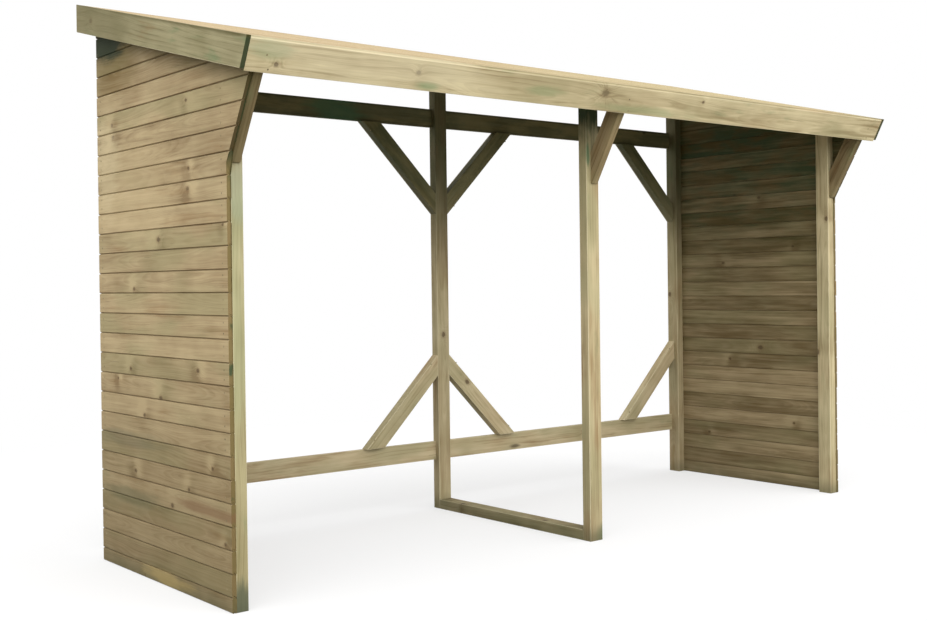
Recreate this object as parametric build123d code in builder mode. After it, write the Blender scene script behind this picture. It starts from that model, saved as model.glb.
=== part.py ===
"""Open-fronted double log store in pressure-treated softwood.

Two clad side walls and an open middle frame stand on the ground.  Two rails and
eight knee braces tie them together at the back.  The board roof falls towards the
front, where a strut on each front post carries its overhang.

Millimetres, +X to the right, +Y to the back, +Z up.  The origin is on the ground
under the middle of the roof.
"""

from build123d import *
from math import cos, radians, sqrt, tan
import os

# ---- driving dimensions ----------------------------------------------------

width = 3526.0              # over the outside of the two clad walls
depth = 1100.0              # front face of the front posts to back of the back posts
middle_x = -15.0            # the middle frame stands a little left of centre

timber = 46.0               # narrow side of the framing timber
timber_wide = 72.0          # its wide side

board_pitch = 80.0          # one cladding board with its joint
board_thickness = 17.0
left_bottom_board = 53.0    # the lowest boards are ripped down to these heights
right_bottom_board = 65.0
joint_width = 8.0           # V at each board joint, on the outer face
joint_depth = 4.0

rail_height = 90.0
rail_thickness = 20.0
low_rail_z = 242.0          # undersides of the two rails
high_rail_z = 1891.0

brace_leg = 430.0           # long edge of a brace, from the post along the rail
brace_width = 72.0
brace_thickness = 46.0

roof_slope = 14.2           # degrees, falling to the front
front_overhang = 256.0      # beyond the front posts, level
back_overhang = 60.0
side_overhang = 56.0        # beyond the cladding
eaves_z = 1920.0            # upper front edge of the roof
roof_board = 16.0

fascia_height = 117.0       # front fascia, square to the roof
trim_height = 110.0         # back fascia and bargeboards, likewise
trim_thickness = 17.0
trim_arris = 8.0            # the front fascia's upper edge is planed off
fascia_lean = 27.0          # degrees off plumb, lower edge set back under the roof

strut_thickness = 34.0      # thinner than the framing
strut_lean = 30.0           # degrees off plumb, upper end out under the overhang
strut_foot_z = 1536.0       # level cut at the foot of a strut
strut_foot = 8.0            # how far that cut stands out from the post

# ---- derived places and lines ----------------------------------------------

roof_run = front_overhang + depth + back_overhang
roof_edge_x = width / 2 + side_overhang
front_y = front_overhang - roof_run / 2          # front faces of the posts
back_y = front_y + depth                         # back faces of the posts
wall_x = width / 2 - board_thickness             # outer faces of the wall posts
wall_frame_x = wall_x - timber / 2               # middle of a wall's framing

slope = tan(radians(roof_slope))                 # rise for each unit of depth
tilt = tan(radians(fascia_lean))                 # set-back for each unit of height
splay = tan(radians(strut_lean))
slope_stretch = 1 / cos(radians(roof_slope))     # square thickness to plumb drop
tilt_stretch = 1 / cos(radians(fascia_lean))     # square thickness to level width
splay_stretch = 1 / cos(radians(strut_lean))

# Each line along the roof is known by its height over the origin.
roof_line = eaves_z + roof_run / 2 * slope
deck_line = roof_line - roof_board * slope_stretch
rafter_line = deck_line - timber_wide * slope_stretch
trim_line = roof_line - trim_height * slope_stretch
fascia_line = roof_line - fascia_height * slope_stretch


def on_slope(line, y):
    """The point at depth y on one of the roof's sloping lines."""
    return (y, line + y * slope)


def meet(line, lean, y, z):
    """Where the line that leans forward through (y, z) crosses a sloping line."""
    return on_slope(line, (y + (z - line) * lean) / (1 + slope * lean))


def save(piece, name):
    piece.label = name
    export_step(piece, f"parts/{name}.step")


def side_cut(outline, x, thickness):
    """A piece of one thickness whose outline is drawn as seen from the side."""
    with BuildPart() as piece:
        with BuildSketch(Plane.YZ.offset(x)):
            with BuildLine():
                Polyline(*outline, close=True)
            make_face()
        extrude(amount=thickness)
    return piece.part


os.makedirs("parts", exist_ok=True)

# ---- side walls ------------------------------------------------------------

# The wall flares beside the struts from the height of their feet.
flare_foot = (front_y, strut_foot_z)
wall_outline = [
    (front_y, 0),
    flare_foot,
    meet(deck_line, splay, *flare_foot),
    on_slope(deck_line, back_y),
    (back_y, 0),
]
wall_top = on_slope(deck_line, back_y)[1]


def cladding(side, bottom_board):
    """One clad wall; side is -1 for the left one and +1 for the right one."""
    joints = int((wall_top - bottom_board) / board_pitch) + 1
    with BuildPart() as wall:
        with BuildSketch(Plane.YZ.offset(side * wall_x)):
            with BuildLine():
                Polyline(*wall_outline, close=True)
            make_face()
        extrude(amount=side * board_thickness)
        with BuildSketch(Plane.XZ.offset(-back_y)):
            for row in range(joints):
                with Locations((side * width / 2, bottom_board + row * board_pitch)):
                    Polygon(
                        (0, -joint_width / 2),
                        (0, joint_width / 2),
                        (-side * joint_depth, 0),
                        align=None,
                    )
        extrude(amount=roof_run, mode=Mode.SUBTRACT)
    return wall.part


save(cladding(-1, left_bottom_board), "left_cladding")
save(cladding(1, right_bottom_board), "right_cladding")

# ---- posts -----------------------------------------------------------------


def post(x, size_x, y, size_y, housed):
    """A post up to the rafter's underside; a back post is housed for both rails."""
    outline = [
        (y, 0),
        on_slope(rafter_line, y),
        on_slope(rafter_line, y + size_y),
        (y + size_y, 0),
    ]
    with BuildPart() as piece:
        with BuildSketch(Plane.YZ.offset(x - size_x / 2)):
            with BuildLine():
                Polyline(*outline, close=True)
            make_face()
        extrude(amount=size_x)
        if housed:
            with BuildSketch(Plane.XZ.offset(-back_y)):
                for rail_z in (low_rail_z, high_rail_z):
                    with Locations((x, rail_z + rail_height / 2)):
                        Rectangle(size_x, rail_height)
            extrude(amount=rail_thickness, mode=Mode.SUBTRACT)
    return piece.part


# The wall posts stand with their wide side along the wall, the middle ones across it.
frames = {
    "left": (-wall_frame_x, timber, timber_wide),
    "middle": (middle_x, timber_wide, timber),
    "right": (wall_frame_x, timber, timber_wide),
}
for side, (x, size_x, size_y) in frames.items():
    save(post(x, size_x, front_y, size_y, housed=False), f"{side}_front_post")
    save(post(x, size_x, back_y - size_y, size_y, housed=True), f"{side}_back_post")

with BuildPart() as middle_sill:
    with BuildSketch():
        with Locations((middle_x, (front_y + back_y) / 2)):
            Rectangle(timber_wide, depth - 2 * timber)
    extrude(amount=timber)
save(middle_sill.part, "middle_sill")

# ---- rafters and struts ----------------------------------------------------

fascia_front = (-roof_run / 2, eaves_z)
fascia_back = (-roof_run / 2 + trim_thickness * tilt_stretch, eaves_z)
back_fascia_front = roof_run / 2 - trim_thickness
rafter_outline = [
    meet(deck_line, tilt, *fascia_back),
    on_slope(deck_line, back_fascia_front),
    on_slope(rafter_line, back_fascia_front),
    meet(rafter_line, tilt, *fascia_back),
]

# A strut stands on a level cut, bears on the post and runs up under the rafter.
strut_front = (front_y - strut_foot, strut_foot_z)
strut_back = (strut_front[0] + timber_wide * splay_stretch, strut_foot_z)
seat_z = strut_foot_z + (strut_back[0] - front_y) / splay
strut_outline = [
    strut_front,
    flare_foot,
    (front_y, seat_z),
    meet(rafter_line, splay, *strut_back),
    meet(rafter_line, splay, *strut_front),
]

for side, (x, *_) in frames.items():
    save(side_cut(rafter_outline, x - timber / 2, timber), f"{side}_rafter")
    # The wall struts are flush with the outer sides of their posts, the middle one with the right.
    strut_x = x - timber / 2 if side == "left" else x + timber / 2 - strut_thickness
    save(side_cut(strut_outline, strut_x, strut_thickness), f"{side}_strut")

# ---- back frame ------------------------------------------------------------

for level, rail_z in (("low", low_rail_z), ("high", high_rail_z)):
    with BuildPart() as rail:
        with BuildSketch(Plane.XZ.offset(-back_y)):
            with Locations((0, rail_z + rail_height / 2)):
                Rectangle(2 * wall_x, rail_height)
        extrude(amount=rail_thickness)
    save(rail.part, f"{level}_back_rail")


def brace(post_x, rail_z, along, up):
    """A knee brace in the corner of a post and a rail, flush with their backs.

    along and up are +1 or -1, the ways it runs from the corner.
    """
    short_leg = brace_leg - brace_width * sqrt(2)
    outline = [
        (post_x + along * brace_leg, rail_z),
        (post_x, rail_z + up * brace_leg),
        (post_x, rail_z + up * short_leg),
        (post_x + along * short_leg, rail_z),
    ]
    with BuildPart() as piece:
        with BuildSketch(Plane.XZ.offset(-back_y)):
            with BuildLine():
                Polyline(*outline, close=True)
            make_face()
        extrude(amount=brace_thickness)
    return piece.part


wall_post_x = wall_x - timber                    # inner faces of the wall posts
corners = {
    "left_outer": (-wall_post_x, 1),
    "left_inner": (middle_x - timber_wide / 2, -1),
    "right_inner": (middle_x + timber_wide / 2, 1),
    "right_outer": (wall_post_x, -1),
}
for corner, (post_x, along) in corners.items():
    save(brace(post_x, low_rail_z + rail_height, along, 1), f"{corner}_low_brace")
    save(brace(post_x, high_rail_z, along, -1), f"{corner}_high_brace")

# ---- roof ------------------------------------------------------------------

deck_width = 2 * (roof_edge_x - trim_thickness)
deck_outline = [
    meet(roof_line, tilt, *fascia_back),
    on_slope(roof_line, back_fascia_front),
    on_slope(deck_line, back_fascia_front),
    meet(deck_line, tilt, *fascia_back),
]
save(side_cut(deck_outline, -deck_width / 2, deck_width), "roof_deck")

fascia_outline = [
    (fascia_front[0] + trim_arris * tilt, eaves_z - trim_arris),
    on_slope(roof_line, fascia_front[0] + trim_arris),
    meet(roof_line, tilt, *fascia_back),
    meet(fascia_line, tilt, *fascia_back),
    meet(fascia_line, tilt, *fascia_front),
]
save(side_cut(fascia_outline, -deck_width / 2, deck_width), "front_fascia")

back_fascia_outline = [
    on_slope(roof_line, back_fascia_front),
    on_slope(roof_line, roof_run / 2),
    on_slope(trim_line, roof_run / 2),
    on_slope(trim_line, back_fascia_front),
]
save(side_cut(back_fascia_outline, -deck_width / 2, deck_width), "back_fascia")

bargeboard_outline = [
    fascia_front,
    on_slope(roof_line, roof_run / 2),
    on_slope(trim_line, roof_run / 2),
    meet(trim_line, tilt, *fascia_front),
]
save(side_cut(bargeboard_outline, -roof_edge_x, trim_thickness), "left_bargeboard")
save(
    side_cut(bargeboard_outline, roof_edge_x - trim_thickness, trim_thickness),
    "right_bargeboard",
)
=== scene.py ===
import math
import random

import bmesh
import bpy
from mathutils import Matrix, Vector


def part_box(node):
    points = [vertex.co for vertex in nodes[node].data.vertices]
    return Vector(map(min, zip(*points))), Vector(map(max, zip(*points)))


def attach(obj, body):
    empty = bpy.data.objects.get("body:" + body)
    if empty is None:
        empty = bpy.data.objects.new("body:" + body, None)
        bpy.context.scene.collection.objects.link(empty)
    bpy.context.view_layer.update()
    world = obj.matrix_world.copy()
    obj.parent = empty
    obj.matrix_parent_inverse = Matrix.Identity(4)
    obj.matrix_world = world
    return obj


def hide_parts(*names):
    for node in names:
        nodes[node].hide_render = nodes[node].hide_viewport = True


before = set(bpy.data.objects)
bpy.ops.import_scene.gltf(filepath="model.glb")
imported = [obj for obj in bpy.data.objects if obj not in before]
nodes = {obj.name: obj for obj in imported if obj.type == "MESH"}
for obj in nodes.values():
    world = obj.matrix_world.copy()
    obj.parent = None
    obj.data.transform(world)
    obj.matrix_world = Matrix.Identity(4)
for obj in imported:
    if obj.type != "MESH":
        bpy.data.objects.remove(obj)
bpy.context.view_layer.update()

rng = random.Random(47)

X = Vector((1, 0, 0))
Y = Vector((0, 1, 0))
Z = Vector((0, 0, 1))

FRAMES = ("left", "middle", "right")
LEVELS = ("low", "high")
CORNERS = ("left_outer", "left_inner", "right_inner", "right_outer")


def put(name, data):
    """A new object in the scene."""
    thing = bpy.data.objects.new(name, data)
    bpy.context.scene.collection.objects.link(thing)
    return thing


# ---- camera ----------------------------------------------------------------

CAMERA_TURN = (38.952, -0.431, -0.738)      # degrees of yaw, pitch and roll
CAMERA_PLACE = (-3.7372, -4.1659, 1.1140)
LENS = 47.256               # millimetres
SENSOR = 36
SHIFT = -0.0191             # as a share of the picture's width

yaw, pitch, roll = (math.radians(a) for a in CAMERA_TURN)
look = Vector((math.sin(yaw) * math.cos(pitch), math.cos(yaw) * math.cos(pitch), math.sin(pitch)))
right = Vector((math.cos(yaw), -math.sin(yaw), 0))
up = right.cross(look)
right, up = (
    right * math.cos(roll) + up * math.sin(roll),
    up * math.cos(roll) - right * math.sin(roll),
)
camera = put("camera", bpy.data.cameras.new("camera"))
camera.data.sensor_width = SENSOR
camera.data.lens = LENS
camera.data.shift_y = SHIFT
camera.matrix_world = Matrix.Translation(CAMERA_PLACE) @ Matrix(
    (right, up, -look)
).transposed().to_4x4()
bpy.context.scene.camera = camera
bpy.context.scene.view_settings.view_transform = "Standard"


# ---- node helpers ----------------------------------------------------------

def colour(text):
    """A colour written as six hex digits, as Blender's linear values."""
    parts = [int(text[i:i + 2], 16) / 255 for i in (0, 2, 4)]
    return (*[c / 12.92 if c <= 0.04045 else ((c + 0.055) / 1.055) ** 2.4 for c in parts], 1)


class Nodes:
    """Short ways to add nodes to one node tree.

    add returns the node itself, and the others return what their node puts out.
    """

    def __init__(self, tree):
        self.tree = tree
        tree.nodes.clear()

    def add(self, kind, inputs=(), **settings):
        node = self.tree.nodes.new(kind)
        for name, value in settings.items():
            setattr(node, name, value)
        for key, value in dict(inputs).items():
            if isinstance(value, bpy.types.NodeSocket):
                self.tree.links.new(value, node.inputs[key])
            else:
                node.inputs[key].default_value = value
        return node

    def math(self, operation, *values, clamp=False):
        return self.add(
            "ShaderNodeMath", enumerate(values), operation=operation, use_clamp=clamp
        ).outputs[0]

    def sum(self, *values):
        total = values[0]
        for value in values[1:]:
            total = self.math("ADD", total, value)
        return total

    def product(self, *values):
        total = values[0]
        for value in values[1:]:
            total = self.math("MULTIPLY", total, value)
        return total

    def clamp(self, value):
        return self.math("MULTIPLY", value, 1.0, clamp=True)

    def swing(self, value, amount):
        """The amount for each unit that the value lies above a half."""
        return self.product(self.math("SUBTRACT", value, 0.5), amount)

    def step(self, value, low, high, bottom=0.0, top=1.0):
        """A smooth step from bottom at low to top at high."""
        return self.add(
            "ShaderNodeMapRange",
            {"Value": value, "From Min": low, "From Max": high, "To Min": bottom, "To Max": top},
            interpolation_type="SMOOTHSTEP",
        ).outputs["Result"]

    def bell(self, *values):
        """1 where all the values are 0, falling to 0 as they grow past about 2."""
        squares = self.sum(*[self.math("MULTIPLY", v, v) for v in values])
        return self.math("EXPONENT", self.math("MULTIPLY", squares, -1.0))

    def root(self, *values):
        """The square root of the sum of the values' squares."""
        return self.math("SQRT", self.sum(*[self.math("POWER", v, 2.0) for v in values]))

    def split(self, vector):
        return self.add("ShaderNodeSeparateXYZ", {0: vector}).outputs

    def join(self, x, y, z):
        return self.add("ShaderNodeCombineXYZ", {0: x, 1: y, 2: z}).outputs[0]

    def vector(self, operation, a, b):
        return self.add("ShaderNodeVectorMath", {0: a, 1: b}, operation=operation).outputs[0]

    def length(self, vector):
        return self.add("ShaderNodeVectorMath", {0: vector}, operation="LENGTH").outputs["Value"]

    def noise(self, vector, detail=2.0, roughness=0.5):
        return self.add(
            "ShaderNodeTexNoise",
            {"Vector": vector, "Scale": 1.0, "Detail": detail, "Roughness": roughness},
        ).outputs

    def mix(self, factor, a, b):
        return self.add("ShaderNodeMix", {0: factor, 6: a, 7: b}, data_type="RGBA").outputs[2]

    def stain(self, shade, factor, text):
        """The shade, turned by the factor towards a colour written as text."""
        return self.mix(factor, shade, colour(text))

    def attribute(self, name):
        return self.add("ShaderNodeAttribute", attribute_name=name).outputs

    def seen(self):
        """1 for a ray from the camera or a mirrored or refracted one, 0 for scattered light."""
        path = self.add("ShaderNodeLightPath").outputs
        plain = self.math("ADD", path["Is Camera Ray"], path["Is Glossy Ray"])
        return self.math("ADD", plain, path["Is Transmission Ray"], clamp=True)


def new_material(name):
    material = bpy.data.materials.new(name)
    material.use_nodes = True
    return material, Nodes(material.node_tree)


# ---- pressure-treated pine -------------------------------------------------

PINKISH = "ab8c68"
GREENISH = "8c8760"
HEARTWOOD = "8c6a42"
COPPER = "5f7a52"           # where the preservative pooled
KNOT_RIM = "7b5f40"
KNOT = "6b5036"
KNOT_HEART = "35281a"
KNOT_RAYS = "6f5a38"
CRACK = "564630"
SAWN = "86714a"             # ends
SAWN_RINGS = "4a432c"
SAWN_COPPER = "34482e"
# partly stain, partly painted shade
SAWN_SHADED = "2b3822"        # ends under the roof
# painted highlight on eased edges
ARRIS_HIGHLIGHT = "e2d8b6"
# dust in the joints, with painted shade on the faces that look down
JOINT_DUST_AND_SHADE = "5f4a2e"
DAMP = "5d4f2f"
SPLASHES = "4c4d33"         # at the very foot
MOSS = "3a462a"
# painted shade on narrow sides under the roof
ROOF_SHADE_SIDES = "1f2114"
# painted shade below the roof's edge
EAVES_SHADE = "4d4720"

WOOD_ROUGHNESS = 0.66
WOOD_SPECULAR = 0.20
RELIEF = 0.0006             # depth of the grain
BROAD_RINGS = 210.0         # radians of ring for each metre from the pith
FINE_RINGS = 470.0
BOARD_INSIDE = (0.011, 0.014)       # from the outer face: where a board's inside begins
BRACE_SIDES = (0.0335, 0.0350)      # from the middle: where a brace's narrow sides begin


def pine(name, light, dark, blush=0.3, algae=0.15, end="79693f", contrast=1.0, damp=0.1,
         knot_sheen=0.3, figured=1.0, patchy=1.0, rays=0.0, roof_shade=None, lining=False, open_back_y=None,
         edges=0.0, eaves_shade=None, marks=()):
    """Sawn and planed pine, stained by its green preservative.

    It reads where a point lies in its own board: "grain" is the place along the board,
    across its width and through its thickness; "tone" is three random numbers of the
    board; "knot" is the nearest knot's place along and across, and its radius; "end" is
    1 on sawn ends; "joint" is 1 in the shade of a board joint; "arris_highlight" is 1 on
    eased edges, which get a painted highlight.

    light and dark are the two ends of its grain, and end is the colour of the sawn ends.
    blush is how pink it is in places and algae how green; damp darkens it towards the
    ground; knot_sheen is the painted sheen of the dipping grain by a knot, and rays the
    strength of the lines round one; figured is how strongly the rings show as long flames,
    and patchy how much a board changes along its length.

    roof_shade is painted shade under the roof, with moss in places, as its strength, the
    two heights it grows between and its colour.  With lining it is on the inner face only;
    behind open_back_y, a place along y, it is weaker; edges is how much darker the painted
    shade lies on the narrow sides.
    eaves_shade is painted shade along an edge that falls with the roof, as its strength,
    the edge's height at the middle of the depth, its slope, and how far down the shade
    reaches in front and behind.
    marks are stains of their own, each a centre, reach, colour and strength.
    """
    material, n = new_material(name)
    along, across, deep = n.split(n.attribute("grain")["Vector"])
    tone_a, tone_b, tone_c = n.split(n.attribute("tone")["Vector"])
    knot_along, knot_across, knot_size = n.split(n.attribute("knot")["Vector"])
    sawn = n.attribute("end")["Fac"]
    joint = n.attribute("joint")["Fac"]
    arris_highlight = n.attribute("arris_highlight")["Fac"]
    place = n.add("ShaderNodeTexCoord").outputs["Object"]
    place_y, height = n.split(place)[1:3]

    def cloud(length, width, moved=None, spread=None, detail=2.0, roughness=0.5):
        """Noise along the board; moved and spread shift it along and across the board."""
        s, t = n.product(along, length), n.product(across, width)
        s = n.sum(s, n.product(*moved)) if moved else s
        t = n.sum(t, n.product(*spread)) if spread else t
        return n.noise(n.join(s, t, n.product(deep, width)), detail, roughness)["Fac"]

    # distance from the nearest knot, in its own radii
    off_along = n.math("DIVIDE", n.math("SUBTRACT", along, knot_along), knot_size)
    off_across = n.math("DIVIDE", n.math("SUBTRACT", across, knot_across), knot_size)
    ragged = n.noise(
        n.join(n.product(along, 90.0), n.product(across, 90.0), n.product(deep, 60.0))
    )["Fac"]
    near = n.root(n.product(off_along, 0.72), off_across)
    gap = n.sum(near, n.swing(ragged, 0.9))
    around = n.bell(n.product(gap, 0.42))
    knot = n.step(gap, 1.10, 0.55)
    rim = n.bell(n.product(n.math("SUBTRACT", gap, 1.10), 2.2))

    # growth rings, round a pith that wanders behind the board
    wander = n.split(n.noise(n.join(
        n.sum(n.product(along, 1.1), n.product(tone_a, 40.0)),
        n.sum(n.product(across, 4.0), n.product(tone_b, 17.0)),
        n.sum(n.product(deep, 4.0), n.product(tone_c, 9.0)),
    ), 2.0, 0.45)["Color"])
    ring_x = n.sum(
        n.math("SUBTRACT", across, n.swing(tone_a, 0.10)),
        n.swing(wander[0], 0.06),
        n.product(off_across, around, knot_size, 0.8),
    )
    ring_y = n.sum(
        deep,
        n.sum(0.014, n.product(tone_b, 0.080)),
        n.swing(wander[1], 0.09),
        n.product(around, knot_size, 1.3),
    )
    ring = n.root(ring_x, ring_y)
    fine = n.math("FRACT", n.math("DIVIDE", ring, n.sum(0.0030, n.product(tone_c, 0.0028))))
    fine = n.product(n.step(fine, 0.15, 0.85), n.step(fine, 1.0, 0.88))
    broad = n.step(n.math("SINE", n.product(ring, BROAD_RINGS)), -0.3, 1.0)
    lines = n.step(n.math("SINE", n.product(ring, FINE_RINGS)), 0.35, 0.95)

    # streaks and fibres along the board, soft patches along it
    streak = cloud(1.9, 75.0, (tone_c, 30.0), (wander[2], 2.5), 4.0, 0.60)
    fibre = cloud(9.0, 640.0)
    band = cloud(5.5, 7.0, (tone_b, 50.0), (tone_a, 20.0))
    slow = cloud(2.1, 5.0, (tone_a, 70.0), (tone_c, 31.0))
    figure = cloud(3.2, 26.0, (tone_c, 80.0), (tone_a, 33.0), 3.0, 0.55)

    # painted sheen: fibres dip round a knot, so one side of it is painted lighter, the other
    # darker
    turn = n.step(n.math("SINE", n.product(knot_along, 91.0)), -0.4, 0.4, -1.0, 1.0)
    sheen = n.product(
        n.sum(n.product(off_along, turn, 0.30), n.product(off_across, 0.22)),
        n.bell(n.product(off_along, 0.20), n.product(off_across, 0.16)),
    )

    # how far the shade lies from light to dark
    depth = n.sum(
        0.33,
        n.product(fine, 0.13 * contrast),
        n.product(broad, 0.15 * contrast, n.step(slow, 0.40, 0.62)),
        n.product(lines, 0.34 * contrast * figured, n.step(figure, 0.40, 0.60)),
        n.swing(streak, 1.05 * contrast),
        n.swing(fibre, 0.30),
        n.swing(band, 0.85 * patchy),
        n.swing(figure, 0.55 * contrast * figured),
        n.product(sheen, -knot_sheen),
        n.swing(tone_b, 0.42),
    )
    shade = n.mix(n.clamp(depth), colour(light), colour(dark))

    # some stretches are pinker, some greener, some warm with heartwood
    pink = n.step(n.sum(slow, n.product(tone_a, 0.16)), 0.50, 0.76)
    shade = n.stain(shade, n.product(pink, blush * patchy), PINKISH)
    green = n.step(n.sum(slow, n.product(tone_c, -0.24)), 0.42, 0.20)
    shade = n.stain(shade, n.product(green, 0.42 * patchy), GREENISH)
    heart = n.step(n.sum(figure, n.product(tone_a, 0.10)), 0.60, 0.74)
    heart = n.product(heart, n.step(slow, 0.40, 0.60))
    shade = n.stain(shade, n.product(heart, 0.40 * figured), HEARTWOOD)

    # copper-green stain where the preservative pooled
    pool = cloud(4.5, 16.0, (tone_b, 90.0), (tone_c, 60.0), 4.0, 0.6)
    shade = n.stain(shade, n.clamp(n.product(n.step(pool, 0.58, 0.80), algae * 3.0)), COPPER)

    # knots, the lines round them and drying cracks
    shade = n.stain(shade, n.product(rim, 0.30), KNOT_RIM)
    shade = n.stain(shade, n.product(knot, 0.62), KNOT)
    if rays:
        star = n.noise(n.join(
            n.product(n.math("DIVIDE", off_along, n.sum(near, 0.2)), 2.9),
            n.product(n.math("DIVIDE", off_across, n.sum(near, 0.2)), 4.0),
            n.product(knot_along, 9.0),
        ), 3.0, 0.6)["Fac"]
        star = n.product(
            n.step(star, 0.53, 0.64), n.bell(n.product(near, 0.24)),
            n.step(knot_size, 0.006, 0.012), rays,
        )
        shade = n.stain(shade, star, KNOT_RAYS)
    crack = n.step(cloud(5.0, 210.0, (tone_a, 11.0), None, 2.0, 0.4), 0.71, 0.76)
    crack = n.product(crack, n.step(pool, 0.42, 0.58))
    shade = n.stain(shade, n.product(crack, 0.50), CRACK)

    # sawn ends, and a painted highlight on eased edges
    cut = n.mix(n.step(tone_c, 0.30, 0.85), colour(end), colour(SAWN))
    cut = n.stain(cut, n.product(fine, 0.35), SAWN_RINGS)
    cut = n.stain(cut, n.step(n.sum(pool, n.product(tone_a, 0.25)), 0.78, 0.92), SAWN_COPPER)
    # ends above the knee darker: partly stain, partly painted shade under the roof
    cut = n.stain(cut, n.step(height, 1.50, 1.57, 0.0, 0.85), SAWN_SHADED)
    shade = n.mix(n.product(sawn, 0.92), shade, cut)
    shade = n.stain(shade, n.product(arris_highlight, n.sum(0.15, n.product(band, 0.6))), ARRIS_HIGHLIGHT)

    # dust and painted shade on the joint faces, damp near the ground
    shade = n.stain(shade, n.product(joint, n.sum(0.25, n.product(band, 0.60))), JOINT_DUST_AND_SHADE)
    inner = n.step(n.math("ABSOLUTE", deep), *BOARD_INSIDE)
    wet = n.step(height, 1.10, 0.0, 0.0, damp)
    if lining:
        wet = n.product(wet, n.sum(1.0, n.product(inner, -0.7)))
    shade = n.stain(shade, wet, DAMP)
    foot = n.product(n.step(height, 0.09, 0.0), n.sum(0.15, band), 0.8)
    shade = n.stain(shade, foot, SPLASHES)

    # painted shade under the roof, with moss in places
    if roof_shade:
        strength, low, high, tint = roof_shade
        reach = n.step(n.sum(height, n.swing(slow, 0.5)), low, high, 0.0, strength)
        if lining:
            reach = n.sum(
                n.product(reach, 0.70), 0.29, n.swing(streak, 0.60), n.swing(figure, 0.80),
                n.swing(tone_b, 0.20),
            )
            reach = n.product(n.clamp(reach), inner)
        # less painted shade on the open faces at the back
        if open_back_y:
            open_back = n.step(place_y, open_back_y - 0.012, open_back_y - 0.004, 1.0, 0.50)
            reach = n.product(reach, open_back)
        mossy = n.product(n.step(pool, 0.38, 0.60), n.step(height, 1.20, 1.75, 0.15, 1.0))
        shade = n.mix(reach, shade, n.mix(mossy, colour(tint), colour(MOSS)))
        # more painted shade on the narrow sides of braces and rails
        if edges:
            narrow = n.step(n.math("ABSOLUTE", across), *BRACE_SIDES, 0.0, edges)
            shade = n.stain(shade, n.product(reach, narrow), ROOF_SHADE_SIDES)

    # painted shade below an edge that falls with the roof, partly stain on the bargeboards
    if eaves_shade:
        strength, line, fall, front, behind = eaves_shade
        below = n.math("SUBTRACT", n.sum(n.product(place_y, fall), line), height)
        below = n.sum(below, n.swing(slow, 0.48 * front))
        shelter = n.step(place_y, 0.10, 0.60, front, behind)
        shade = n.stain(shade, n.step(below, shelter, 0.0, 0.0, strength), EAVES_SHADE)
    shade = n.stain(shade, n.product(knot, 0.45), KNOT_HEART)

    for centre, size, tint, strength in marks:
        off = n.vector("DIVIDE", n.vector("SUBTRACT", place, centre), size)
        blot = n.sum(n.length(off), n.swing(pool, 1.6), n.swing(streak, 0.8))
        shade = n.stain(shade, n.step(blot, 1.25, 0.45, 0.0, strength), tint)

    relief = n.sum(
        n.product(fine, -0.35),
        n.product(fibre, 0.45),
        n.product(streak, 0.25),
        n.product(crack, -1.6),
        n.product(knot, 0.5),
    )
    bump = n.add("ShaderNodeBump", {"Strength": 0.55, "Distance": RELIEF, "Height": relief})
    shader = n.add("ShaderNodeBsdfPrincipled", {
        "Base Color": shade,
        "Roughness": n.sum(
            WOOD_ROUGHNESS, n.product(fine, 0.10), n.product(sawn, 0.2), n.swing(band, 0.2)
        ),
        "Specular IOR Level": WOOD_SPECULAR,
        "Normal": bump.outputs[0],
    })
    n.add("ShaderNodeOutputMaterial", {"Surface": shader.outputs[0]})
    return material


# ---- building pieces -------------------------------------------------------

FAR_KNOT = (99.0, 99.0, 0.01)       # stands for no knot: place along, across, radius
SQUARE = 0.02               # the greatest cosine of two axes that count as square
SAWN_END = 0.35             # an end's normal has more than this share along the grain
JOINT_UNDER = -0.4          # a joint's lower face looks down the width by this share
SHARP_EDGE = 0.35           # radians; flatter edges aren't eased
EASED_FACE = 0.0004         # square metres; the faces of an eased edge are smaller
KNOT_SLICE = 0.08           # length of a timber's faces, each with its nearest knot
TIMBER_KNOT = 0.008         # usual radii of knots
BOARD_KNOT = 0.006
ROOF_KNOT = 0.007


def whole(bm):
    return bm.verts[:] + bm.edges[:] + bm.faces[:]


def skin(bm, rings):
    """Faces between rings of as many points each, and over both ends."""
    for first, second in zip(rings, rings[1:]):
        for i in range(len(first)):
            j = (i + 1) % len(first)
            bm.faces.new((first[i], first[j], second[j], second[i]))
    bm.faces.new(rings[0][::-1])
    bm.faces.new(rings[-1])


def saw_off(bm, place, facing):
    """Cut away what lies beyond a plane, and close the cut."""
    cut = bmesh.ops.bisect_plane(
        bm, geom=whole(bm), plane_co=place, plane_no=facing, clear_outer=True
    )["geom_cut"]
    edges = [e for e in cut if isinstance(e, bmesh.types.BMEdge)]
    bmesh.ops.holes_fill(bm, edges=edges, sides=0)


def span(points, axis):
    """The least and the greatest place of the points along an axis."""
    places = [p.dot(axis) for p in points]
    return min(places), max(places)


def random_tone():
    return [rng.random() for _ in range(3)]


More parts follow.
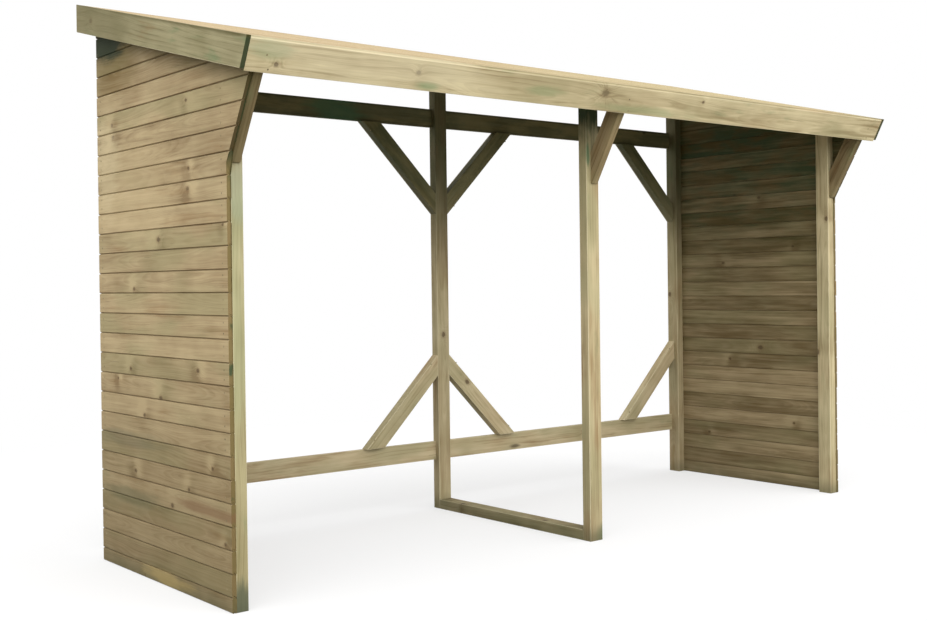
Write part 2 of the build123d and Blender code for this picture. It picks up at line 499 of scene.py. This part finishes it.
class Stack:
    """Boards gathered into one mesh, each with its own grain."""

    def __init__(self):
        self.points = []
        self.faces = []
        self.grain = []
        self.tone = []
        self.knot = []
        self.end = []
        self.joint = []
        self.arris_highlight = []

    def add(self, bm, axes, centre, tone, knots=(), matched=0.0, eased=False):
        """Add a board that lies along, across and through its three axes.

        Where matched isn't 0, faces that look down the board's width, or up it by more
        than matched, are joints.  With eased, its narrowest faces get a painted highlight.
        """
        along, across, deep = axes
        base = len(self.points)
        bm.verts.index_update()
        bm.normal_update()
        for vert in bm.verts:
            off = vert.co - centre
            self.points.append(vert.co[:])
            self.grain.append((vert.co.dot(along), off.dot(across), off.dot(deep)))
            self.tone.append(tone)
        for face in bm.faces:
            middle = face.calc_center_median()
            s, t = middle.dot(along), (middle - centre).dot(across)
            near = min(
                knots, key=lambda k: math.hypot(s - k[0], t - k[1]) - 2 * k[2], default=FAR_KNOT
            )
            self.faces.append([base + v.index for v in face.verts])
            self.knot.append(near)
            self.end.append(1.0 if abs(face.normal.dot(along)) > SAWN_END else 0.0)
            tilt = face.normal.dot(across)
            shaded = matched and (tilt < JOINT_UNDER or tilt > matched)
            self.joint.append(1.0 if shaded else 0.0)
            thin = face.calc_area() < EASED_FACE and abs(face.normal.dot(along)) < 0.2
            self.arris_highlight.append(1.0 if eased and thin else 0.0)
        bm.free()

    def build(self, name, material, replaced):
        mesh = bpy.data.meshes.new(name)
        mesh.from_pydata(self.points, [], self.faces)
        for key, domain, rows in (
            ("grain", "POINT", self.grain),
            ("tone", "POINT", self.tone),
            ("knot", "FACE", self.knot),
        ):
            layer = mesh.attributes.new(key, "FLOAT_VECTOR", domain)
            layer.data.foreach_set("vector", [c for row in rows for c in row])
        for key, row in (("end", self.end), ("joint", self.joint), ("arris_highlight", self.arris_highlight)):
            mesh.attributes.new(key, "FLOAT", "FACE").data.foreach_set("value", row)
        mesh.materials.append(material)
        mesh.validate()
        piece = put(name, mesh)
        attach(piece, "root")
        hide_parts(*replaced)


def from_node(name):
    """The CAD node's solid, with its flat faces whole again."""
    bm = bmesh.new()
    bm.from_mesh(nodes[name].data)
    bmesh.ops.remove_doubles(bm, verts=bm.verts, dist=1e-5)
    bmesh.ops.dissolve_limit(bm, angle_limit=math.radians(1), verts=bm.verts, edges=bm.edges)
    bmesh.ops.recalc_face_normals(bm, faces=bm.faces)
    return bm


def grain_axes(bm):
    """Along the longest edge, then across the wide and the narrow way."""
    longest = max(bm.edges, key=lambda e: e.calc_length())
    along = (longest.verts[1].co - longest.verts[0].co).normalized()
    if along[max(range(3), key=lambda i: abs(along[i]))] < 0:
        along = -along
    side = next(axis for axis in (Y, X, Z) if abs(axis.dot(along)) < SQUARE)
    side = (side - along * side.dot(along)).normalized()
    other = along.cross(side)

    def extent(axis):
        low, high = span([v.co for v in bm.verts], axis)
        return high - low

    return (along, side, other) if extent(side) >= extent(other) else (along, other, side)


def slice_along(bm, axis, pitch):
    """Edge loops across a piece, so that each knot has faces of its own."""
    low, high = span([v.co for v in bm.verts], axis)
    at = low + pitch
    while at < high - pitch / 2:
        bmesh.ops.bisect_plane(bm, geom=whole(bm), plane_co=axis * at, plane_no=axis)
        at += pitch


def scatter_knots(low, high, width, gap, size):
    """Knots along a board at uneven distances, as place along, place across and radius."""
    found = []
    at = low + rng.uniform(0.2, 1.0) * gap
    while at < high:
        found.append((at, rng.uniform(-0.5, 0.5) * width, size * rng.uniform(0.7, 1.4)))
        at += gap * rng.uniform(0.5, 1.6)
    return found


def timber(name, material, ease=0.0025, gap=0.55, least=0.0, knots=None, tone=None,
           arris_highlight=True):
    """One length of timber on its CAD node's shape, with its edges eased.

    Its knots stand about gap apart, and those smaller than least are left out.
    """
    bm = from_node(name)
    axes = grain_axes(bm)
    points = [v.co.copy() for v in bm.verts]
    low, high = span(points, axes[0])
    near_side, far_side = span(points, axes[1])
    centre = sum(points, Vector()) / len(points)
    centre += axes[1] * ((far_side + near_side) / 2 - centre.dot(axes[1]))
    sharp = [
        e for e in bm.edges
        if e.is_manifold and e.is_convex and e.calc_face_angle() > SHARP_EDGE
    ]
    bmesh.ops.bevel(
        bm, geom=sharp, offset=ease, offset_type="OFFSET", segments=2, profile=0.6,
        affect="EDGES", clamp_overlap=True,
    )
    slice_along(bm, axes[0], KNOT_SLICE)
    if knots is None:
        knots = scatter_knots(low, high, far_side - near_side, gap, TIMBER_KNOT)
        knots = [k for k in knots if k[2] > least]
    stack = Stack()
    stack.add(bm, axes, centre, tone or random_tone(), knots, eased=arris_highlight)
    stack.build(name + "_timber", material, [name])


# ---- materials -------------------------------------------------------------

FALL = math.tan(math.radians(14.2))     # the roof's fall for each unit of depth


def edge_line(name):
    """The height at the middle of the depth of a node's upper edge, which falls with the roof."""
    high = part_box(name)[1]
    return high.z - high.y * FALL


wall_line = edge_line("left_cladding")
roof_line = edge_line("left_bargeboard")

cladding_pine = pine(
    "cladding_pine", "b6a37e", "836f50", blush=0.07, algae=0.04, damp=0.50, knot_sheen=0.75,
    # painted shade under the roof, on the inner face
    figured=0.6, roof_shade=(0.90, 0.45, 1.85, "4e421f"), lining=True,
    # painted shadow of the bargeboard on the wall below it
    eaves_shade=(0.86, wall_line, FALL, 0.21, 0.34),
    marks=[
        # the next two: partly painted shade under the bargeboard's back end, partly green stain
        ((-1.78, 0.45, 1.97), (0.2, 0.22, 0.12), "6d5c30", 0.45),
        ((-1.78, 0.56, 2.09), (0.2, 0.20, 0.07), "232f1b", 0.95),
        ((-1.78, 0.30, 1.52), (0.2, 0.45, 0.22), "c8b48c", 0.40),
        ((-1.78, 0.55, 1.62), (0.2, 0.12, 0.20), "cdbf9a", 0.35),
        ((-1.78, -0.30, 0.33), (0.2, 0.30, 0.022), "73553a", 0.60),
        ((-1.78, 0.35, 0.30), (0.2, 0.30, 0.035), "58573b", 0.55),
        ((-1.78, 0.05, 0.03), (0.2, 0.22, 0.03), "b09a62", 0.50),
        ((-1.78, 0.40, 0.52), (0.2, 0.35, 0.035), "65624a", 0.45),
    ],
)
framing_pine = pine(
    "framing_pine", "cbbe97", "90815d", blush=0.20, algae=0.14,
    marks=[
        ((-1.74, -0.46, 0.02), (0.10, 0.10, 0.10), "4b5240", 0.80),
        ((-1.74, -0.46, 1.45), (0.10, 0.05, 0.10), "8f9c88", 0.40),
        ((-1.74, -0.46, 1.00), (0.10, 0.05, 0.40), "a6b088", 0.30),
        # partly painted shadow of the roof on the middle post's top, partly green stain
        ((-0.02, -0.44, 1.90), (0.10, 0.12, 0.18), "364229", 1.0),
        ((-0.04, -0.43, 1.66), (0.01, 0.05, 0.05), "3f6a4a", 0.70),
        ((0.03, -0.46, 0.03), (0.03, 0.05, 0.06), "55674a", 0.60),
    ],
)
inner_pine = pine(
    "inner_pine", "cec19d", "978863", blush=0.25, algae=0.12,
    # painted shade under the roof
    roof_shade=(0.82, 1.08, 1.72, "48462c"),
    # more painted shade under the roof, up the right back post
    marks=[((1.72, 0.50, 1.60), (0.10, 0.10, 0.60), "3c3a24", 0.35)],
)
strut_pine = pine(
    "strut_pine", "a08d69", "625336", blush=0.15, algae=0.10,
    marks=[
        ((-1.73, -0.55, 1.72), (0.10, 0.30, 0.50), "5c5234", 0.35),
        # partly painted shade on the left strut's side by the cladding, partly stain
        ((-1.746, -0.55, 1.72), (0.006, 0.25, 0.45), "4a4228", 0.45),
        ((1.76, -0.50, 1.88), (0.06, 0.10, 0.08), "2f3a30", 0.80),
    ],
)
rail_pine = pine(
    "rail_pine", "dccda7", "a5946d", blush=0.20, algae=0.10,
    # painted shade under the roof, weaker on the open back faces, darker on narrow sides
    roof_shade=(0.84, 1.00, 1.65, "605f3d"), open_back_y=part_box("high_back_rail")[1].y, edges=0.35,
    marks=[
        ((0.47, 0.60, 0.26), (0.04, 0.06, 0.014), "3a2f1c", 0.70),
        ((-0.60, 0.626, 1.93), (0.18, 0.012, 0.09), "3f6a50", 0.70),
    ],
)
roof_pine = pine(
    "roof_pine", "cdb891", "a38c66", blush=0.30, algae=0.06, figured=0.7, patchy=0.5,
    marks=[((1.50, -0.50, 2.05), (2.20, 1.80, 0.60), "b2a97b", 0.38)],
)
trim_pine = pine(
    "trim_pine", "dccea6", "a1906b", blush=0.20, algae=0.14, knot_sheen=0.15, end="6f6d48",
    # painted shade along the fascia's top edge
    rays=0.65, contrast=1.1, eaves_shade=(0.65, roof_line, FALL, 0.012, 0.012),
    marks=[
        ((-1.72, -0.69, 1.88), (0.09, 0.2, 0.035), "84926c", 0.60),
        ((-1.06, -0.69, 1.83), (0.07, 0.2, 0.015), "6f9064", 0.60),
        ((-1.30, -0.69, 1.90), (0.60, 0.2, 0.10), "e8dcba", 0.35),
        ((1.20, -0.69, 1.94), (0.45, 0.2, 0.03), "c3a27c", 0.35),
        ((0.05, -0.69, 1.83), (0.30, 0.2, 0.02), "8d9b70", 0.50),
        ((-0.50, -0.69, 1.86), (0.10, 0.2, 0.02), "7f9a6c", 0.50),
        ((-0.35, -0.69, 1.90), (0.50, 0.2, 0.10), "a39571", 0.30),
    ],
)
barge_pine = pine(
    "barge_pine", "a8a07d", "777050", blush=0.08, algae=0.20, end="4b5a38", contrast=0.9,
    # painted shade along the bargeboards' top edge, partly stain in the gap at the roof
    eaves_shade=(0.75, roof_line, FALL, 0.016, 0.005),
    marks=[((-1.81, 0.50, 2.20), (0.3, 0.45, 0.3), "6f6849", 0.62)],
)

# ---- framing and trim ------------------------------------------------------

THIN_EASE = 0.002           # for rails and trim
LEAST_KNOT = 0.0100         # radius; smaller knots are left out
LEAST_RAIL_KNOT = 0.0085

for side in FRAMES:
    timber(f"{side}_front_post", framing_pine, least=LEAST_KNOT)
    timber(f"{side}_back_post", inner_pine, least=LEAST_KNOT)
    timber(f"{side}_rafter", inner_pine)
    timber(
        f"{side}_strut", strut_pine, arris_highlight=False,
        tone=(0.3, 0.0 if side == "middle" else 0.8, 0.5),
    )
timber("middle_sill", framing_pine, least=LEAST_KNOT)
for level in LEVELS:
    timber(f"{level}_back_rail", rail_pine, ease=THIN_EASE, least=LEAST_RAIL_KNOT)
    for corner in CORNERS:
        timber(f"{corner}_{level}_brace", rail_pine, gap=0.7, least=LEAST_KNOT)

# Place along the fascia, place across it and radius, for the knots that show most.  The
# places were taken from the photo and carried onto the fascia through an early fit of the
# camera.
timber("front_fascia", trim_pine, ease=THIN_EASE, knots=[
    (-1.689, -0.026, 0.007),
    (-1.114, 0.002, 0.0075),
    (-0.169, 0.012, 0.015),
    (0.430, 0.024, 0.006),
])
timber("back_fascia", trim_pine, ease=THIN_EASE)
timber("left_bargeboard", barge_pine, ease=THIN_EASE, least=LEAST_KNOT)
timber("right_bargeboard", barge_pine, ease=THIN_EASE, least=LEAST_KNOT)


# ---- clad walls ------------------------------------------------------------

BOARD_PITCH = 0.080
FIRST_BOARD = {"left": 0.053, "right": 0.065}   # heights of the lowest boards
BOARD_STEPS = 22            # slices along a wall board, for its bow and its knots
LEAST_BOARD = 0.004         # a lower strip than this at the top is left out
MAX_SWELL = 0.0005          # how far a board bows in or out of the wall's plane
SLACK = 0.0006              # half the gap between two boards
V_JOINT = 0.004             # depth, and height on each board, of the V at a joint
BOARD_BACK = 0.0170
BACK_ARRIS = (0.0150, 0.0026)       # where the arris at the back starts, and its height
GROOVE = (0.0062, 0.0112)           # from and to, through the board
GROOVE_DEPTH = 0.0072
TONGUE = (0.0066, 0.0108)
TONGUE_REACH = 0.0056


def wall_profile(low, high, knee):
    """A board's section as (depth from the outer face, height), tongue up and groove down.

    A board that the knee crosses has a point at its height on both faces.
    """
    bent = low + V_JOINT < knee < high - V_JOINT
    section = [
        (0.0, low + V_JOINT), (V_JOINT, low + SLACK),
        (GROOVE[0], low + SLACK), (GROOVE[0], low + GROOVE_DEPTH),
        (GROOVE[1], low + GROOVE_DEPTH), (GROOVE[1], low + SLACK),
        (BACK_ARRIS[0], low + SLACK), (BOARD_BACK, low + BACK_ARRIS[1]),
    ]
    if bent:
        section.append((BOARD_BACK, knee))
    section += [
        (BOARD_BACK, high - BACK_ARRIS[1]), (BACK_ARRIS[0], high - SLACK),
        (TONGUE[1], high - SLACK), (TONGUE[1], high + TONGUE_REACH),
        (TONGUE[0], high + TONGUE_REACH), (TONGUE[0], high - SLACK),
        (V_JOINT, high - SLACK), (0.0, high - V_JOINT),
    ]
    if bent:
        section.append((0.0, knee))
    return section


def clad_wall(side, sign, knots, tones):
    """One wall of matched boards, cut to the CAD wall's outline.

    sign is -1 for the left wall and +1 for the right one.  knots are row, place along y,
    share of the board's height and radius; the places were taken from the photo and
    carried onto the wall through an early fit of the camera.  tones are the numbers,
    listed row by row, that set the shade of some rows.
    """
    name = f"{side}_cladding"
    low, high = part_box(name)
    outer = low.x if sign < 0 else high.x
    corners = {(round(v.co.y, 5), round(v.co.z, 5)) for v in nodes[name].data.vertices}
    post_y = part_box(f"{side}_front_post")[0].y
    knee = max(z for y, z in corners if abs(y - post_y) < 1e-4)
    nose_y, nose_z = min(corners)
    flare = (nose_y - post_y) / (nose_z - knee)
    roof_normal = Vector((0, nose_z - high.z, high.y - nose_y)).normalized()
    stack = Stack()
    bottom, top = low.z, low.z + FIRST_BOARD[side]
    row = 0
    while bottom < high.z - LEAST_BOARD:
        # The ends aren't quite in line, and each board bows a little its own way.
        front_off, back_off = rng.uniform(-0.0022, 0.0012), rng.uniform(-0.0020, 0.0)
        bow, phase = rng.uniform(-MAX_SWELL, MAX_SWELL), rng.uniform(0, 6.28)
        section = wall_profile(bottom, top, knee)
        bm = bmesh.new()
        rings = []
        for i in range(BOARD_STEPS + 1):
            ring = []
            for depth, z in section:
                start = post_y + max(0.0, z - knee) * flare + front_off
                y = start + (high.y + back_off - start) * (i / BOARD_STEPS)
                swell = bow * math.sin(y * 4 + phase) + MAX_SWELL
                ring.append(bm.verts.new((outer - sign * (depth + swell), y, z)))
            rings.append(ring)
        skin(bm, rings)
        if top + TONGUE_REACH > nose_z:
            saw_off(bm, (0, nose_y, nose_z), roof_normal)
        bmesh.ops.recalc_face_normals(bm, faces=bm.faces)
        here = [
            (y, share * BOARD_PITCH - BOARD_PITCH / 2, size)
            for r, y, share, size in knots if r == row
        ]
        if not here and rng.random() < 0.2:
            here = scatter_knots(post_y, high.y, width=0.06, gap=0.7, size=BOARD_KNOT)
        centre = Vector((outer, 0, top - BOARD_PITCH / 2))
        tone = tones.get(row) or random_tone()
        stack.add(bm, (Y, Z, X), centre, tone, here, matched=0.9)
        bottom, top = top, top + BOARD_PITCH
        row += 1
    stack.build(f"{side}_boards", cladding_pine, [name])


clad_wall("left", -1, [
    (0, 0.247, 0.45, 0.007), (3, -0.408, 0.20, 0.006), (4, 0.000, 0.21, 0.009),
    (6, -0.322, 0.34, 0.007), (9, 0.085, 0.09, 0.010), (9, 0.473, 0.79, 0.006),
    (10, 0.351, 0.34, 0.008), (10, -0.222, 0.55, 0.009), (14, 0.309, 0.21, 0.008),
    (16, 0.087, 0.51, 0.011), (16, -0.421, 0.91, 0.006), (18, -0.161, 0.68, 0.009),
    (19, -0.168, 0.57, 0.007), (21, 0.489, 0.75, 0.010),
], {
    0: (0.8, 0.3, 0.0), 1: (0.1, 0.7, 0.8), 2: (0.6, 0.3, 0.2), 3: (0.5, 0.9, 1.0),
    4: (0.6, 0.1, 0.1), 5: (0.7, 0.6, 0.2), 6: (0.0, 0.9, 1.0), 7: (0.3, 0.3, 0.4),
    8: (0.5, 0.0, 0.2), 9: (0.6, 0.5, 0.3),
})
clad_wall("right", 1, [
    (3, 0.385, 0.25, 0.007), (4, -0.195, 0.45, 0.007), (8, 0.231, 0.58, 0.008),
    (9, 0.021, 0.46, 0.014), (15, 0.272, 0.34, 0.008), (16, -0.199, 0.33, 0.007),
    (20, 0.187, 0.05, 0.009),
], {
    0: (0.4, 0.1, 0.3), 3: (0.1, 0.8, 0.9), 4: (0.7, 0.1, 0.5), 5: (0.5, 1.0, 0.3),
    6: (0.3, 0.0, 0.4), 7: (0.9, 0.2, 0.3), 9: (0.5, 1.0, 0.6), 10: (0.8, 1.0, 0.2),
    11: (0.2, 0.6, 0.7), 13: (0.4, 0.1, 0.8), 15: (0.2, 0.0, 0.6), 17: (0.6, 0.2, 0.9),
    18: (0.3, 1.0, 0.2), 19: (0.6, 0.0, 0.1), 20: (0.9, 0.1, 0.6),
})


# ---- roof boards -----------------------------------------------------------

ROOF_BOARDS = 15
ROOF_STEPS = 30             # slices along a roof board
ROOF_OVERRUN = 0.01         # the outer boards' spare width, sawn off at the deck's edges
ROOF_ARRIS = (0.0022, 0.0015)       # width and depth of the upper arris
ROOF_V = 0.0035             # the V at a joint on the underside
ROOF_GROOVE = (0.0054, 0.0104)      # from and to, through the board
ROOF_GROOVE_DEPTH = 0.0068
ROOF_TONGUE = (0.0058, 0.0100)
ROOF_TONGUE_REACH = 0.0055


def roof_profile(a, b, thick):
    """A board's section between a and b as (place down the roof, depth), tongue down."""
    return [
        (a + SLACK, ROOF_ARRIS[1]), (a + ROOF_ARRIS[0], 0.0),
        (b - ROOF_ARRIS[0], 0.0), (b - SLACK, ROOF_ARRIS[1]),
        (b - SLACK, ROOF_TONGUE[0]), (b + ROOF_TONGUE_REACH, ROOF_TONGUE[0]),
        (b + ROOF_TONGUE_REACH, ROOF_TONGUE[1]), (b - SLACK, ROOF_TONGUE[1]),
        (b - SLACK, thick - ROOF_V), (b - ROOF_V, thick),
        (a + ROOF_V, thick), (a + SLACK, thick - ROOF_V),
        (a + SLACK, ROOF_GROOVE[1]), (a + ROOF_GROOVE_DEPTH, ROOF_GROOVE[1]),
        (a + ROOF_GROOVE_DEPTH, ROOF_GROOVE[0]), (a + SLACK, ROOF_GROOVE[0]),
    ]


def roof_deck():
    """Matched boards laid across the rafters, cut to the deck's own planes."""
    solid = from_node("roof_deck")
    low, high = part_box("roof_deck")
    upper = max(solid.faces, key=lambda f: f.calc_area() * (f.normal.z > 0.5))
    normal = upper.normal.copy()
    down = Vector((0, -normal.z, normal.y))     # towards the front
    origin = upper.calc_center_median()
    planes = [
        (f.calc_center_median(), f.normal.copy())
        for f in solid.faces
        if abs(f.normal.x) < 0.5 and abs(f.normal.dot(normal)) < 0.9
    ]
    start, stop = span([v.co - origin for v in solid.verts], down)
    thick = -span([v.co - origin for v in solid.verts], normal)[0]
    solid.free()
    pitch = (stop - start) / ROOF_BOARDS
    stack = Stack()
    for i in range(ROOF_BOARDS):
        first, last = i == 0, i == ROOF_BOARDS - 1
        a = start + pitch * i - (ROOF_OVERRUN if first else 0)
        b = start + pitch * (i + 1) + (ROOF_OVERRUN if last else 0)
        section = roof_profile(a, b, thick)
        bm = bmesh.new()
        rings = []
        for k in range(ROOF_STEPS + 1):
            at = Vector((low.x + (high.x - low.x) * k / ROOF_STEPS, origin.y, origin.z))
            rings.append([bm.verts.new(at + down * s - normal * t) for s, t in section])
        skin(bm, rings)
        if first or last:
            for place, facing in planes:
                saw_off(bm, place, facing)
        bmesh.ops.recalc_face_normals(bm, faces=bm.faces)
        centre = origin + down * ((a + b) / 2)
        knots = scatter_knots(low.x, high.x, width=0.07, gap=0.8, size=ROOF_KNOT)
        stack.add(bm, (X, down, normal), centre, random_tone(), knots, matched=0.4)
    stack.build("roof_boards", roof_pine, ["roof_deck"])


roof_deck()


# ---- nails -----------------------------------------------------------------

NAIL_RADIUS = 0.0034
NAIL_SIDES = 12
NAIL_DOME = ((1.0, -0.0006), (1.0, 0.0002), (0.72, 0.0005))     # share of the radius, height
NAIL_SINK = 0.0004          # how far a head is let into a wall board
BOARD_NAILS = 0.018         # nails stand this far above and below the middle of a board
FASCIA_NAILS = 0.024
RAIL_NAILS = 0.022


def nail_metal():
    """Dulled zinc, with wood stain in the pits."""
    material, n = new_material("nail_metal")
    place = n.add("ShaderNodeTexCoord").outputs["Object"]
    bloom = n.noise(n.vector("MULTIPLY", place, (700.0,) * 3), 3.0)["Fac"]
    each = n.noise(n.vector("MULTIPLY", place, (23.0,) * 3), 1.0)["Fac"]
    shade = n.mix(n.step(bloom, 0.35, 0.65), colour("9b8d6a"), colour("83754f"))
    shade = n.stain(shade, n.step(each, 0.50, 0.35, 0.0, 0.60), "574c33")
    bump = n.add("ShaderNodeBump", {"Strength": 0.4, "Distance": 0.0003, "Height": bloom})
    shader = n.add("ShaderNodeBsdfPrincipled", {
        "Base Color": shade,
        "Metallic": 0.4,
        "Roughness": n.step(bloom, 0.3, 0.7, 0.45, 0.70),
        "Normal": bump.outputs[0],
    })
    n.add("ShaderNodeOutputMaterial", {"Surface": shader.outputs[0]})
    return material


def nail_heads(name, spots):
    """Shallow domed heads, each a place and the way it faces."""
    bm = bmesh.new()
    for place, facing in spots:
        facing = facing.normalized()
        side = facing.cross(X if abs(facing.x) < 0.7 else Y).normalized()
        other = facing.cross(side)
        size = NAIL_RADIUS * rng.uniform(0.9, 1.1)
        turns = [math.tau * k / NAIL_SIDES for k in range(NAIL_SIDES)]
        skin(bm, [
            [
                bm.verts.new(
                    place + facing * proud
                    + (side * math.cos(a) + other * math.sin(a)) * size * share
                )
                for a in turns
            ]
            for share, proud in NAIL_DOME
        ])
    mesh = bpy.data.meshes.new(name)
    bm.to_mesh(mesh)
    bm.free()
    mesh.materials.append(nail_metal())
    piece = put(name, mesh)
    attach(piece, "root")


def centre_of(name):
    """The middle of a node's box."""
    low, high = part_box(name)
    return (low + high) / 2


def nail_spots():
    """Two nails where a board, a rail or the fascia crosses the frame, one at each brace's end.

    On the rails and the fascia the two stand a little out of line.
    """
    spots = []
    for side, sign in (("left", -1), ("right", 1)):
        low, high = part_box(f"{side}_cladding")
        outer = low.x if sign < 0 else high.x
        first_board = FIRST_BOARD[side]
        rows = int((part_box(f"{side}_front_post")[1].z - first_board) / BOARD_PITCH)
        for row in range(rows):
            z = low.z + first_board + BOARD_PITCH * (row + 0.5)
            for post in ("front", "back"):
                y = centre_of(f"{side}_{post}_post").y
                for off in (-BOARD_NAILS, BOARD_NAILS):
                    uneven = rng.uniform(-0.003, 0.003)
                    place = Vector((outer - sign * NAIL_SINK, y, z + off + uneven))
                    spots.append((place, X * sign))
    fascia = nodes["front_fascia"].data
    face = max(fascia.polygons, key=lambda f: f.area * (f.normal.y < -0.5))
    fall = X.cross(face.normal).normalized()
    for side in FRAMES:
        for off in (-FASCIA_NAILS, FASCIA_NAILS):
            x = centre_of(f"{side}_rafter").x + off * 0.3
            place = face.center + X * (x - face.center.x) + fall * off
            spots.append((place, face.normal.copy()))
    for level in LEVELS:
        rail = f"{level}_back_rail"
        for side in FRAMES:
            x = centre_of(f"{side}_back_post").x
            for off in (-RAIL_NAILS, RAIL_NAILS):
                place = Vector((x + off * 0.4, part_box(rail)[1].y, centre_of(rail).z + off))
                spots.append((place, Y))
        for corner in CORNERS:
            low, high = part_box(f"{corner}_{level}_brace")
            # whether the brace rises towards the right
            rises = (corner in ("left_inner", "right_outer")) == (level == "low")
            for share in (0.10, 0.90):
                x = low.x + (high.x - low.x) * share
                z = low.z + (high.z - low.z) * (share if rises else 1 - share)
                spots.append((Vector((x, low.y, z)), -Y))
    return spots


nail_heads("nail_heads", nail_spots())

# ---- floor, light and background -------------------------------------------

WHITE = (1, 1, 1, 1)
FLOOR_RADIUS = 60
FLOOR_PALE = (0.90, 0.90, 0.90, 1)          # as the camera sees it, near the store
FLOOR_WHITENS = (2.2, 4.5)                  # distances between which it turns white
BOUNCE_INSIDE = (0.035, 0.035, 0.030, 1)    # as it lights the store, from under the roof
BOUNCE_OUTSIDE = (0.34, 0.33, 0.29, 1)      # and from the open ground around

bm = bmesh.new()
bmesh.ops.create_circle(bm, cap_ends=True, segments=96, radius=FLOOR_RADIUS)
floor_mesh = bpy.data.meshes.new("floor")
bm.to_mesh(floor_mesh)
bm.free()
floor = put("floor", floor_mesh)

floor_material, n = new_material("floor")
place = n.add("ShaderNodeNewGeometry").outputs["Position"]
pale = n.add("ShaderNodeBsdfDiffuse", {"Color": FLOOR_PALE}).outputs[0]
white = n.add("ShaderNodeEmission", {"Color": WHITE, "Strength": 1.0}).outputs[0]
fade = n.step(n.length(place), *FLOOR_WHITENS, 0.60, 1.0)
near = n.add("ShaderNodeMixShader", {0: fade, 1: pale, 2: white}).outputs[0]
inside = n.vector("MULTIPLY", place, (0.5, 1.0, 0.0))
inside = n.length(n.vector("SUBTRACT", inside, (0.0, 0.35, 0.0)))
bounce = n.mix(n.step(inside, 0.75, 1.35), BOUNCE_INSIDE, BOUNCE_OUTSIDE)
dull = n.add("ShaderNodeBsdfDiffuse", {"Color": bounce}).outputs[0]
ground = n.add("ShaderNodeMixShader", {0: n.seen(), 1: dull, 2: near}).outputs[0]
n.add("ShaderNodeOutputMaterial", {"Surface": ground})
floor_mesh.materials.append(floor_material)

world = bpy.data.worlds.new("studio")
world.use_nodes = True
n = Nodes(world.node_tree)
direction = n.add("ShaderNodeTexCoord").outputs["Generated"]


def lobe(aim, low, high):
    """Sky light that swells towards one direction."""
    turn = n.add(
        "ShaderNodeVectorMath", {0: direction, 1: Vector(aim).normalized()},
        operation="DOT_PRODUCT",
    ).outputs["Value"]
    return n.step(turn, low, 1.0, 0.0, high)


# A soft light from the front, one from the left, one from above, and a little all round.
strength = n.sum(
    0.12,
    lobe((-0.10, -0.95, 0.25), -0.10, 2.12),
    lobe((-1.0, 0.05, 0.15), 0.45, 1.35),
    n.step(n.split(direction)[2], 0.25, 1.0, 0.0, 0.7),
)
sky = n.add("ShaderNodeBackground", {"Color": WHITE, "Strength": strength}).outputs[0]
white = n.add("ShaderNodeBackground", {"Color": WHITE, "Strength": 1.0}).outputs[0]
studio = n.add("ShaderNodeMixShader", {0: n.seen(), 1: sky, 2: white}).outputs[0]
n.add("ShaderNodeOutputWorld", {"Surface": studio})
bpy.context.scene.world = world
